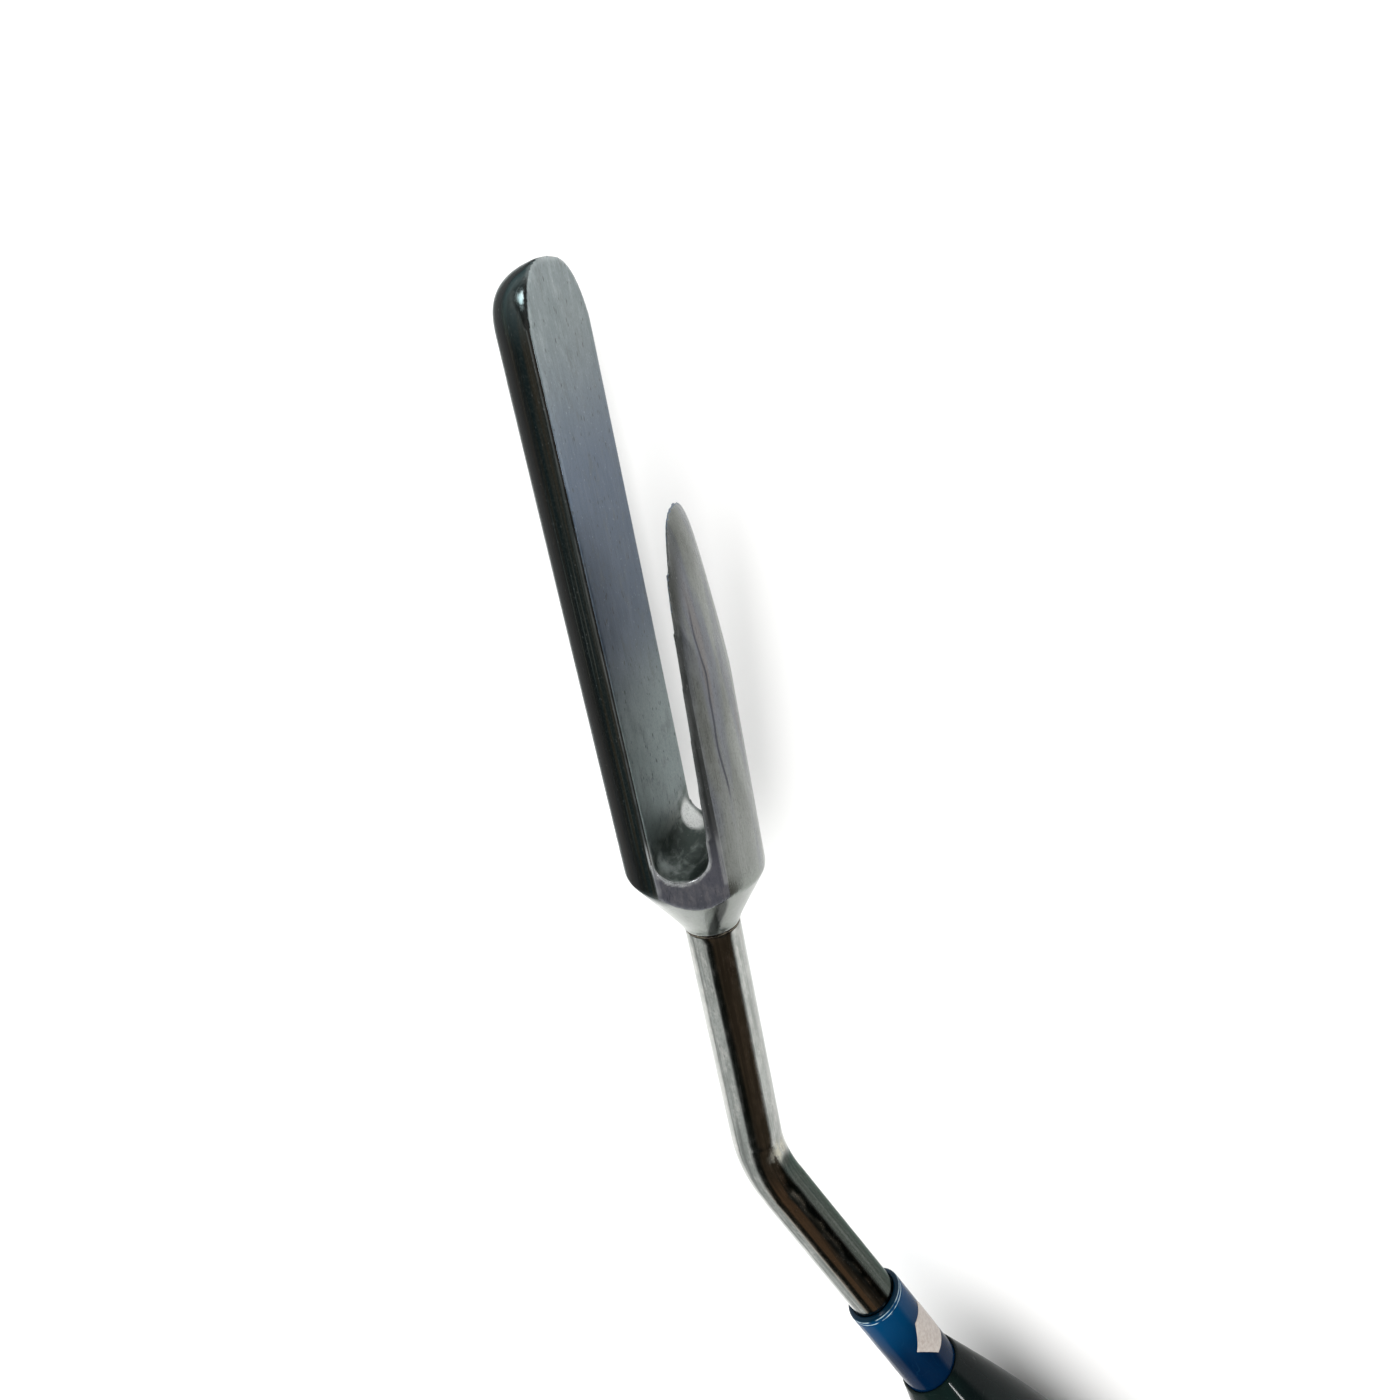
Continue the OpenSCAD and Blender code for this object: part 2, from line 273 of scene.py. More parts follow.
def head_tint(net, tone):
    """A pale back that is painted reflection, heat tints and one dark seam on the short tine, dark oxide on the
    long one with painted reflection and a painted highlight at its end, a polished neck.
    """
    x, y, z = (net.axis(name) for name in "XYZ")
    # The tone pales towards the back as a painted reflection, and it also pales towards the crotch
    drift = net.fit(net.noise((0.22, 0.06, 0.22), 3.0, 0.55, (2, 6, 1)), 0.3, 0.7, -1.6, 1.6)
    painted_sheen = net.fit(net.math("ADD", z, drift), 4.6, -2.5)
    low = net.fit(y, 34.0, 14.0, 0.0, 0.45)
    tone = net.mix(net.math("MAXIMUM", painted_sheen, low), tone, (0.26, 0.275, 0.26))
    wave = net.noise((0.30, 0.035, 0.30), 2.0, 0.5, (6, 1, 2))
    tone = net.mix(net.math("MULTIPLY", net.fit(wave, 0.45, 0.62), 0.5), tone, (0.090, 0.100, 0.145))
    tone = net.mix(net.math("MULTIPLY", net.fit(wave, 0.57, 0.72), 0.4), tone, (0.125, 0.100, 0.075))
    wander = net.fit(net.noise((0.0, 0.10, 0.0), 1.5, 0.5, (0, 3.3, 0)), 0.25, 0.75, 4.75, 5.35)
    seam = net.fit(net.math("ABSOLUTE", net.math("SUBTRACT", z, wander)), 0.06, 0.20, 1.0, 0.0)
    reach = net.math("MULTIPLY", net.fit(y, 21.0, 25.0), net.fit(y, 52.0, 44.0))
    seam = net.math("MULTIPLY", net.math("MULTIPLY", seam, reach), net.fit(x, 4.0, 5.0, 0.0, 0.9))
    tone = net.mix(seam, tone, (0.012, 0.014, 0.025))
    tone = net.mix(net.fit(y, 12.5, 7.5, 0.0, 0.85), tone, (0.22, 0.24, 0.22))
    across = net.math("ABSOLUTE", net.math("SUBTRACT", x, net.fit(y, 0.0, 9.0, 1.2, 4.6)))
    streak = net.math("MULTIPLY", net.fit(across, 1.0, 0.45), net.fit(z, 1.0, 2.5))
    tone = net.mix(net.math("MULTIPLY", streak, net.fit(y, 9.5, 8.2, 0.0, 0.98)), tone, (0.006, 0.010, 0.007))
    gap = net.math("SUBTRACT", x, net.fit(y, SLOT_ROOT, 65.0, 4.05, 6.05))
    front = net.math("MULTIPLY", net.fit(z, 1.5, 3.5), net.fit(y, 20.0, 30.0))
    lane = net.math("MULTIPLY", net.fit(gap, 1.35, 0.35), front)
    tone = net.mix(net.math("MULTIPLY", lane, net.fit(y, 64.0, 50.0, 0.0, 0.95)), tone, (0.016, 0.018, 0.014))
    dull = net.math("MULTIPLY", net.fit(z, 3.4, 4.8), net.fit(y, 9.5, 13.0))
    dull = net.math("MULTIPLY", dull, net.fit(x, 3.0, 3.6))
    net.put(net.bsdf.inputs["Metallic"], net.fit(dull, 0.0, 1.0, 0.85, 0.30))
    oxide = net.math("MULTIPLY", net.fit(x, -1.2, -3.0), net.fit(y, 7.5, 11.5))
    net.put(net.bsdf.inputs["Specular Tint"], net.mix(oxide, (1.0, 1.0, 1.0), (0.16, 0.19, 0.19)))
    band = net.noise((1.2, 0.02, 1.2), 3.0, 0.55, (8, 8, 1))
    shade = net.mix(net.fit(band, 0.42, 0.66), (0.005, 0.010, 0.011), (0.022, 0.018, 0.012))
    thread = net.fit(net.noise((3.4, 0.03, 3.4), 2.0, 0.5, (2, 2, 9)), 0.57, 0.70, 0.0, 0.5)
    shade = net.mix(thread, shade, (0.06, 0.065, 0.06))
    # Painted reflection lightens the band towards its rounded end, and a small painted highlight sits at its top
    # edge
    shade = net.mix(net.fit(y, 79.0, 87.0, 0.0, 0.75), shade, (0.055, 0.075, 0.078))
    shade = net.mix(net.near((-3.3, 88.4, 1.2), 0.5, 1.4), shade, (0.85, 0.87, 0.86))
    return net.mix(oxide, tone, shade)


outer_steel = steel("head_outer", (0.088, 0.094, 0.084), (0.100, 0.106, 0.098), (0.125, 0.132, 0.125),
                    (0.24, 0.36), 0.12, 0.25, head_tint, metal=0.85)
# The back of the long tine and the neck are smoother than the rest
ground = outer_steel.math("MULTIPLY", outer_steel.fit(outer_steel.axis("X"), -3.0, -1.2),
                          outer_steel.fit(outer_steel.axis("Y"), 7.5, 12.5))
satin = outer_steel.bsdf.inputs["Roughness"].links[0].from_socket
outer_steel.rough(outer_steel.math("MULTIPLY", satin, outer_steel.fit(ground, 0.0, 1.0, 0.6, 1.0)))


def face_tint(net, tone):
    """The long face is bluer at its middle and painted lighter towards the root; the slot's root is painted shade,
    with a painted highlight on its far side and a painted highlight patch on its near side.
    """
    y = net.axis("Y")
    blue = net.math("MULTIPLY", net.fit(y, 30.0, 48.0), net.fit(y, 84.0, 64.0))
    tone = net.mix(net.math("MULTIPLY", blue, 0.8), tone, (0.066, 0.098, 0.158))
    # Painted light: the face is made paler towards the slot's root
    tone = net.mix(net.fit(y, 44.0, 26.0, 0.0, 0.85), tone, (0.285, 0.345, 0.345))
    mottle = net.noise((0.55, 0.30, 0.55), 5.0, 0.7, (1, 5, 2))
    tone = net.mix(net.fit(mottle, 0.52, 0.70, 0.0, 0.45), tone, (0.10, 0.115, 0.115))
    # Painted shade: the slot's root is darkened, mottled by noise
    root = net.fit(y, 20.5, 15.0)
    shade_mottle = net.fit(net.noise((0.5, 0.5, 0.25), 3.0, 0.6, (4, 4, 9), 0.6), 0.42, 0.66)
    tone = net.mix(root, tone, net.mix(shade_mottle, (0.050, 0.068, 0.060), (0.23, 0.26, 0.245)))
    # A painted highlight on the root's far side, and a less metallic painted highlight patch on its near side
    glint = net.near((-2.1, 13.9, -6.3), 1.7, 1.2)
    patchy = net.fit(mottle, 0.40, 0.60, 0.35, 1.0)
    scoop_highlight = net.math("MULTIPLY", net.near((-2.4, 13.9, 6.4), 0.5, 2.6), patchy)
    net.put(net.bsdf.inputs["Metallic"], net.fit(scoop_highlight, 0.0, 1.0, 0.9, 0.3))
    tone = net.mix(net.math("MULTIPLY", scoop_highlight, 0.85), tone, (0.36, 0.40, 0.39))
    return net.mix(glint, tone, (0.86, 0.88, 0.87))


def flat_tint(net, tone):
    """The flat darkens to green where it runs up beside the slot."""
    return net.mix(net.fit(net.axis("Y"), 13.0, 22.0, 0.0, 0.9), tone, (0.012, 0.015, 0.012))


face_steel = steel("head_face", (0.145, 0.180, 0.187), (0.190, 0.225, 0.232), (0.26, 0.30, 0.305),
                   (0.36, 0.50), 0.08, 0.8, face_tint, metal=0.9)
flat_steel = steel("head_flat", (0.060, 0.064, 0.078), (0.078, 0.080, 0.098), (0.11, 0.108, 0.12),
                   (0.30, 0.42), 0.2, 0.35, flat_tint, metal=0.5)


def rod_tint(net, tone):
    """Dark lengthwise stains, a yellowish worn spot inside the bend, and a painted dark reflection down the side
    below it.
    """
    x, y = net.axis("X"), net.axis("Y")
    stain = net.fit(net.noise((1.1, 0.03, 1.1), 3.0, 0.6, (1, 2, 3)), 0.50, 0.64, 0.0, 0.6)
    tone = net.mix(stain, tone, (0.12, 0.13, 0.12))
    blotch = net.fit(net.noise((0.5, 0.25, 0.5), 4.0, 0.7, (6, 6, 3)), 0.45, 0.7, 0.0, 0.45)
    tone = net.mix(blotch, tone, (0.20, 0.21, 0.195))
    grain = net.fit(net.noise((0.8, 0.02, 0.8), 3.0, 0.6, (9, 3, 1)), 0.36, 0.50)
    cast = net.math("MULTIPLY", net.fit(y, 44.0, 50.0), grain)
    cast = net.math("MULTIPLY", cast, net.fit(x, 0.4, -0.4))
    tone = net.mix(net.math("MULTIPLY", cast, 0.85), tone, (0.66, 0.54, 0.43))
    # Painted dark reflection down the side below the bend, with its specular tint greened to match
    edge = net.math("ADD", x, net.fit(net.noise((0.0, 0.3, 0.0), 2.0), 0.3, 0.7, -0.25, 0.25))
    side = net.math("MULTIPLY", net.fit(edge, -2.7, -3.2), net.fit(y, 43.4, 45.6))
    tone = net.mix(net.math("MULTIPLY", side, 0.96), tone, (0.016, 0.027, 0.024))
    net.put(net.bsdf.inputs["Specular Tint"], net.mix(side, (1.0, 1.0, 1.0), (0.55, 0.60, 0.58)))
    spot = net.near((-3.7, 41.6, 1.5), 0.4, 3.0)
    grit = net.fit(net.noise((1.2, 0.5, 1.2), 4.0, 0.7, (3, 1, 1)), 0.34, 0.56)
    grime = net.math("MULTIPLY", spot, grit)
    net.put(net.bsdf.inputs["Metallic"], net.fit(grime, 0.0, 1.0, 1.0, 0.45))
    tone = net.mix(net.math("MULTIPLY", grime, 0.75), tone, (0.42, 0.40, 0.31))
    # A dark spot at the bend, painted where the dark reflection down the side begins
    return net.mix(net.near((-3.9, 44.6, 1.0), 0.5, 1.6), tone, (0.03, 0.035, 0.03))


rod_steel = steel("shank_polish", (0.27, 0.285, 0.27), (0.34, 0.355, 0.34), (0.46, 0.46, 0.44),
                  (0.09, 0.20), 0.45, 0.3, rod_tint, grain_depth=0.0012)

braze = Net("braze_fill", Metallic=1.0)
lumps = braze.noise((1.6, 1.6, 1.6), 3.0, 0.6)
braze.colour(braze.mix(braze.fit(lumps, 0.4, 0.6), (0.07, 0.06, 0.05), (0.30, 0.26, 0.20)))
braze.rough(braze.fit(lumps, 0.35, 0.65, 0.35, 0.6))
braze.bump(lumps, 0.06)

sleeve_skin = Net("sleeve_blue", Coat_Weight=0.10, Coat_Roughness=0.05, Specular_IOR_Level=0.04)
tone = sleeve_skin.noise((0.12, 0.05, 0.12), 3.0, 0.5)
depth = sleeve_skin.mix(sleeve_skin.fit(tone, 0.35, 0.65), (0.0002, 0.008, 0.028), (0.0005, 0.014, 0.044))
bright = sleeve_skin.fit(sleeve_skin.axis("Y"), LOWER_L + 11.0, LOWER_L + 1.0, 0.0, 0.8)
depth = sleeve_skin.mix(bright, depth, (0.0005, 0.038, 0.105))
rim = sleeve_skin.fit(sleeve_skin.axis("Y"), LOWER_L + 0.15, LOWER_L + 0.75, 1.0, 0.0)
depth = sleeve_skin.mix(sleeve_skin.math("MULTIPLY", rim, 0.8), depth, (0.001, 0.010, 0.016))
scuff = line(sleeve_skin, (0.5, 0.2, 0.5), 0.004, 0.5, (2, 7, 1), 0.5)
depth = sleeve_skin.mix(sleeve_skin.math("MULTIPLY", scuff, 0.25), depth, (0.01, 0.05, 0.10))
# Two thin pale rings at the lip and the groove are painted highlights, broken round the sleeve by noise
for at, width, painted_sheen in ((0.42, 0.10, 0.55), (1.05, 0.09, 0.75)):
    ring = sleeve_skin.math("ABSOLUTE", sleeve_skin.math("SUBTRACT", sleeve_skin.axis("Y"), LOWER_L + at))
    ring = sleeve_skin.fit(ring, width * 0.4, width, painted_sheen, 0.0)
    patch = sleeve_skin.fit(sleeve_skin.noise((0.5, 0.0, 0.5), 2.0, 0.5, (at, 0, 4)), 0.36, 0.58)
    depth = sleeve_skin.mix(sleeve_skin.math("MULTIPLY", ring, patch), depth, (0.50, 0.66, 0.70))
sleeve_skin.colour(depth)
smudge = sleeve_skin.noise((0.6, 0.3, 0.6), 3.0, 0.6, (3, 3, 3))
sleeve_skin.rough(sleeve_skin.fit(smudge, 0.35, 0.7, 0.12, 0.26))
sleeve_skin.bump(sleeve_skin.noise((0.5, 0.12, 0.5), 2.0), 0.02)

film = Net("mark_white", grain="object", Specular_IOR_Level=0.5)
grain = film.noise((1.6, 1.6, 1.6), 4.0, 0.65)
film.colour(film.mix(film.fit(grain, 0.35, 0.65), (0.34, 0.295, 0.265), (0.44, 0.40, 0.37)))
film.rough(film.fit(grain, 0.3, 0.7, 0.35, 0.5))
film.bump(grain, 0.01)

grip = Net("grip_gloss", Coat_Weight=0.10, Coat_Roughness=0.04, Specular_IOR_Level=0.03)
swirl = grip.noise((0.05, 0.02, 0.05), 4.0, 0.6)
skin = grip.mix(grip.fit(swirl, 0.38, 0.64), (0.0030, 0.0050, 0.0052), (0.0045, 0.0115, 0.0100))
hairline = line(grip, (0.35, 0.6, 0.35), 0.003, 0.5, (4, 1, 6), 0.6)
skin = grip.mix(grip.math("MULTIPLY", hairline, 0.25), skin, (0.05, 0.06, 0.06))
nick = pits(grip, 1.1, 0.03, (5, 5, 5))
grip.colour(grip.mix(grip.math("MULTIPLY", nick, 0.35), skin, (0.06, 0.07, 0.07)))
grip.rough(grip.fit(grip.noise((0.3, 0.3, 0.3), 4.0, 0.65, (1, 2, 3)), 0.35, 0.7, 0.10, 0.24))
grip.bump(grip.math("SUBTRACT", grip.noise((0.14, 0.07, 0.14), 2.0), grip.math("MULTIPLY", nick, 0.2)), 0.12)

pin_metal = Net("pin_ground", grain="object", Metallic=1.0)
turn = pin_metal.noise((1.5, 1.5, 0.2), 3.0, 0.6)
pin_metal.colour(pin_metal.mix(pin_metal.fit(turn, 0.35, 0.65), (0.36, 0.36, 0.35), (0.56, 0.56, 0.54)))
pin_metal.rough(pin_metal.fit(turn, 0.3, 0.7, 0.25, 0.45))
pin_metal.bump(turn, 0.01)

eyelet_metal = Net("eyelet_plate", Metallic=1.0)
plate = eyelet_metal.noise((0.8, 0.8, 0.8), 4.0, 0.6)
patchy = eyelet_metal.fit(plate, 0.35, 0.65)
eyelet_metal.colour(eyelet_metal.mix(patchy, (0.42, 0.41, 0.38), (0.64, 0.63, 0.60)))
eyelet_metal.rough(eyelet_metal.fit(plate, 0.3, 0.7, 0.16, 0.32))
eyelet_metal.bump(plate, 0.01)


# ---------------------------------------------------------------- pieces
def read(items, name, width=3, kind=np.float32):
    """One attribute of every item in a mesh collection, a row per item."""
    values = np.zeros(len(items) * width, kind)
    items.foreach_get(name, values)
    return values.reshape(-1, width)


def set_rest(mesh, rest):
    """Where each point lies in the piece's straightened frame, for its material."""
    layer = mesh.attributes.new("rest", "FLOAT_VECTOR", "POINT")
    layer.data.foreach_set("vector", np.asarray(rest, np.float32).ravel())


def set_edge(mesh, amount):
    """How much of an edge each point lies on, from 0 to 1, for the bright edge line of wear and painted highlight.
    """
    layer = mesh.attributes.new("edge", "FLOAT", "POINT")
    layer.data.foreach_set("value", np.asarray(amount, np.float32))


def face_out(mesh):
    """Turn every face of a closed mesh outwards."""
    body = bmesh.new()
    body.from_mesh(mesh)
    bmesh.ops.recalc_face_normals(body, faces=body.faces)
    body.to_mesh(mesh)
    body.free()


def add_piece(name, verts, faces, rest, net, node, sharp=SHARP):
    """A piece from points in mm from the neck joint, with smooth shading that breaks at sharp edges."""
    mesh = bpy.data.meshes.new(name)
    mesh.from_pydata(((np.asarray(verts) + ORIGIN) * MM).tolist(), [], faces)
    face_out(mesh)
    set_rest(mesh, rest)
    set_edge(mesh, np.zeros(len(mesh.vertices)))
    mesh.shade_smooth()
    mesh.set_sharp_from_angle(angle=sharp)
    mesh.materials.append(net.mat)
    piece = bpy.data.objects.new(name, mesh)
    bpy.context.scene.collection.objects.link(piece)
    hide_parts(node)
    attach(piece, "root")
    return piece


def ring_faces(rings, around, closed=False):
    """Quads between rings of points. A closed body also joins its last ring to its first."""
    faces = []
    last = rings if closed else rings - 1
    for i in range(last):
        a, b = i * around, ((i + 1) % rings) * around
        for j in range(around):
            k = (j + 1) % around
            faces.append((a + j, a + k, b + k, b + j))
    return faces


def lathe(profile, around=128, closed=False, wobble=None):
    """Points (x, along, z) and faces of a body turned about +Y from (radius, along) pairs.

    A closed profile is a loop, and an open one gets a cap at either end.
    """
    profile = np.asarray(profile, float)
    turn = np.linspace(0, 2 * math.pi, around, endpoint=False)
    radius = profile[:, :1] + (wobble(turn[None, :]) if wobble else 0.0)
    along = np.repeat(profile[:, 1:2], around, 1)
    points = np.stack([radius * np.cos(turn), along, radius * np.sin(turn)], -1)
    verts = points.reshape(-1, 3)
    faces = ring_faces(len(profile), around, closed)
    if not closed:
        n = len(verts)
        verts = np.vstack([verts, [0, profile[0, 1], 0], [0, profile[-1, 1], 0]])
        top = (len(profile) - 1) * around
        for j in range(around):
            k = (j + 1) % around
            faces.append((n, k, j))
            faces.append((n + 1, top + j, top + k))
    return verts, faces


def rounded(profile, radius, steps=5):
    """The profile with each inner corner turned into a short arc."""
    p = np.asarray(profile, float)
    out = [p[0]]
    for a, b, c in zip(p[:-2], p[1:-1], p[2:]):
        u, v = a - b, c - b
        lu, lv = np.linalg.norm(u), np.linalg.norm(v)
        r = min(radius, 0.45 * lu, 0.45 * lv)
        start, end = b + u / lu * r, b + v / lv * r
        for t in np.linspace(0, 1, steps):
            out.append((1 - t) ** 2 * start + 2 * t * (1 - t) * b + t ** 2 * end)
    out.append(p[-1])
    return np.array(out)


# Head: the CAD surface taken as an even net of quads, with its edges eased as on ground steel
def even_copy(node, cell, passes):
    source = nodes[node]
    work = bpy.data.objects.new("work", source.data.copy())
    bpy.context.scene.collection.objects.link(work)
    remesh = work.modifiers.new("net", "REMESH")
    remesh.mode = "VOXEL"
    remesh.voxel_size = cell * MM
    wrap = work.modifiers.new("wrap", "SHRINKWRAP")
    wrap.target = source
    wrap.wrap_method = "NEAREST_SURFACEPOINT"
    ease = work.modifiers.new("ease", "SMOOTH")
    ease.factor = 0.5
    ease.iterations = passes
    bpy.context.view_layer.update()
    done = work.evaluated_get(bpy.context.evaluated_depsgraph_get())
    mesh = bpy.data.meshes.new_from_object(done)
    bpy.data.objects.remove(work)
    return mesh


head_mesh = even_copy("fork_head", HEAD_CELL, HEAD_PASSES)
head_co = read(head_mesh.vertices, "co") / MM - ORIGIN
set_rest(head_mesh, head_co)

# How far the surface turns at each point: its edges carry the bright line, partly wear and partly a painted edge
# highlight
normals = read(head_mesh.vertices, "normal")
ends = read(head_mesh.edges, "vertices", 2, np.int32)
step = head_co[ends[:, 1]] - head_co[ends[:, 0]]
turned = normals[ends[:, 1]] - normals[ends[:, 0]]
curve = (step * turned).sum(1) / np.maximum((step * step).sum(1), 1e-6)
sharpest = np.zeros(len(head_co))
np.maximum.at(sharpest, ends[:, 0], curve)
np.maximum.at(sharpest, ends[:, 1], curve)
set_edge(head_mesh, np.clip((sharpest - EDGE_LINE_FROM) / EDGE_LINE_SPAN, 0, 1))

# Which finish each face has: 0 for the outside, 1 in the slot, 2 on the flat
centres = read(head_mesh.polygons, "center") / MM - ORIGIN
x, y, z = centres[:, 0] + HEAD_OFFSET, centres[:, 1], centres[:, 2]
slot_x = SLOT_R - SLOT_WALL
lean_from = SLOT_R * math.sin(SLOT_LEAN)
lean_x = slot_x + SLOT_R * math.cos(SLOT_LEAN) + (y - SLOT_ROOT + lean_from) * math.tan(SLOT_LEAN)
on_flat = x * math.sin(FLAT_TURN) + z * math.cos(FLAT_TURN) > FLAT_R - ZONE_NEAR
on_root = (np.abs(np.hypot(x - slot_x, y - SLOT_ROOT) - SLOT_R) < ZONE_NEAR) & (y < SLOT_ROOT)
on_long = (np.abs(x + SLOT_WALL) < ZONE_NEAR) & (y >= SLOT_ROOT)
on_short = (np.abs(x - lean_x) < ZONE_NEAR) & (y >= SLOT_ROOT)
zone = np.where(on_flat, 2, np.where(on_root | on_long | on_short, 1, 0))

# The band blends into the rounded end of the long tine, so that end is eased further than the rest
ease_mesh = bmesh.new()
ease_mesh.from_mesh(head_mesh)
ease_mesh.verts.ensure_lookup_table()
tip = [v for v, p in zip(ease_mesh.verts, head_co) if p[1] > TIP_Y and p[0] < TIP_X]
for _ in range(TIP_PASSES):
    bmesh.ops.smooth_vert(ease_mesh, verts=tip, factor=0.5, use_axis_x=True, use_axis_y=True, use_axis_z=True)
ease_mesh.to_mesh(head_mesh)
ease_mesh.free()
head_mesh.materials.clear()
for net in (outer_steel, face_steel, flat_steel):
    head_mesh.materials.append(net.mat)
head_mesh.polygons.foreach_set("material_index", zone.astype(np.int32))
head_mesh.shade_smooth()
head = bpy.data.objects.new("head_forged", head_mesh)
bpy.context.scene.collection.objects.link(head)
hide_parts("fork_head")
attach(head, "root")

# Shank: one round bar through the bend, from the spigot in the head to the tang in the handle
bend_in = BEND_R * math.tan(BEND / 2)
straight = UPPER_L - bend_in
arc = BEND_R * BEND
end = straight + arc + HANDLE_X + TANG_L - bend_in
# Each station is a length down the bar and the bar's radius there
stations = [(-SPIGOT_L, SPIGOT_R - 0.5), (-SPIGOT_L + 0.5, SPIGOT_R), (-0.02, SPIGOT_R)]
stations += [(0.0, ROD_R - 0.25), (0.12, ROD_R - 0.04), (0.35, ROD_R)]
stations += [(s, ROD_R) for s in np.linspace(1.0, straight, 36)]
stations += [(straight + arc * t, ROD_R - FIT) for t in np.linspace(0.02, 0.98, 40)]
stations += [(s, ROD_R) for s in np.linspace(straight + arc, end - 0.6, 60)]
stations += [(end - 0.2, ROD_R - 0.2), (end, ROD_R - 0.6)]
around = 96
turn = np.linspace(0, 2 * math.pi, around, endpoint=False)
verts, rest = [], []
for s, r in stations:
    if s <= straight:
        centre, side = np.array([0.0, -s, 0.0]), np.array([1.0, 0.0, 0.0])
    else:
        a = min((s - straight) / BEND_R, BEND)
        past = max(s - straight - arc, 0.0)
        side, onward = np.array([math.cos(a), math.sin(a), 0.0]), np.array([math.sin(a), -math.cos(a), 0.0])
        centre = np.array([BEND_R, -straight, 0.0]) - BEND_R * side + past * onward
    for t in turn:
        verts.append(centre + r * (math.cos(t) * side + math.sin(t) * np.array([0.0, 0.0, 1.0])))
        rest.append((-r * math.cos(t), s, r * math.sin(t)))
faces = ring_faces(len(stations), around)
faces.append(tuple(range(around)))
faces.append(tuple(range((len(stations) - 1) * around, len(stations) * around)))
add_piece("shank_bar", verts, faces, rest, rod_steel, "shank")


# Braze: a thin uneven bead that fills the joint between the neck and the shank
def lumpy(turn):
    """How far the bead stands in or out round the neck, in mm."""
    return 0.015 * np.sin(5 * turn + 1.0) + 0.015 * np.sin(11 * turn + 2.0) + 0.01 * np.sin(23 * turn)


bead = rounded([(2.8, 0.03), (3.98, 0.03), (4.04, 0.17), (4.03, 0.32), (2.8, 0.32)], 0.08)
verts, faces = lathe(bead, 160, True, lumpy)
add_piece("neck_braze", verts, faces, verts, braze, "braze_ring", math.radians(60))

# Sleeve, with a rolled front lip and a shallow groove behind it
lip = [(SLEEVE_R - LIP + LIP * math.sin(a), LOWER_L + LIP - LIP * math.cos(a))
       for a in np.linspace(0, math.pi / 2, 14)]
groove = [(SLEEVE_R - 0.10 * math.exp(-(((s - 1.05) / 0.13) ** 2)), LOWER_L + s)
          for s in np.linspace(0.65, 1.5, 18)]
back = HANDLE_X + SLEEVE_SEAT
body = [(SLEEVE_R, s) for s in np.linspace(LOWER_L + 1.7, back - 0.1, 24)]
loop = [(SLEEVE_BORE, LOWER_L + 0.12), (SLEEVE_BORE + 0.1, LOWER_L + 0.02)] + lip + groove + body
loop += [(SLEEVE_R - 0.1, back), (SLEEVE_BORE, back)]
verts, faces = lathe(loop, 160, True)
add_piece("sleeve_skin", from_lower(verts), faces, verts, sleeve_skin, "sleeve")


# Handle: a turned grip, with the eyelet's seats and the pin's bore cut through it
def ease(t):
    """0 to 1 with a level start and end."""
    return (1 - math.cos(math.pi * t)) / 2


def handle_r(s):
    """The grip's radius at a length s from its front, up to the rounded butt."""
    if s < BELLY_AT:
        return FRONT_R + (BELLY_R - FRONT_R) * math.sin(math.pi / 2 * s / BELLY_AT)
    if s < WAIST_AT:
        return BELLY_R + (WAIST_R - BELLY_R) * ease((s - BELLY_AT) / (WAIST_AT - BELLY_AT))
    return WAIST_R + (BUTT_R - WAIST_R) * ease((s - WAIST_AT) / (HANDLE_L - BUTT_ROUND - WAIST_AT))


butt_x = HANDLE_L - BUTT_ROUND
side = [(handle_r(s), HANDLE_X + s) for s in [*np.linspace(0.12, 3, 8), *np.linspace(3.8, butt_x, 110)]]
butt = [(BUTT_R - BUTT_ROUND + BUTT_ROUND * math.cos(a), HANDLE_X + butt_x + BUTT_ROUND * math.sin(a))
        for a in np.linspace(0.06, math.pi / 2, 22)]
seat_y, bore_y = HANDLE_X + SLEEVE_SEAT + 0.2, HANDLE_X + TANG_L + 1
profile = [(0.01, bore_y), (ROD_R + 0.04, bore_y), (ROD_R + 0.04, seat_y), (SEAT_R, seat_y),
           (SEAT_R, HANDLE_X + 0.1), (SEAT_R + 0.08, HANDLE_X + 0.01), (FRONT_R - 0.1, HANDLE_X + 0.01)]
profile += side + butt + [(0.01, HANDLE_X + HANDLE_L)]
verts, faces = lathe(profile, 160)
grip_piece = add_piece("grip_turned", from_lower(verts), faces, verts, grip, "handle")


def cutter(radius, low, high, at):
    """A closed cylinder along Z at a place down the handle, to cut with."""
    ring, faces = lathe([(radius, low), (radius, high)], 96)
    ring = np.stack([ring[:, 0], at + ring[:, 2], ring[:, 1]], -1)
    mesh = bpy.data.meshes.new("cutter")
    mesh.from_pydata(((from_lower(ring) + ORIGIN) * MM).tolist(), [], faces)
    face_out(mesh)
    obj = bpy.data.objects.new("cutter", mesh)
    bpy.context.scene.collection.objects.link(obj)
    return obj


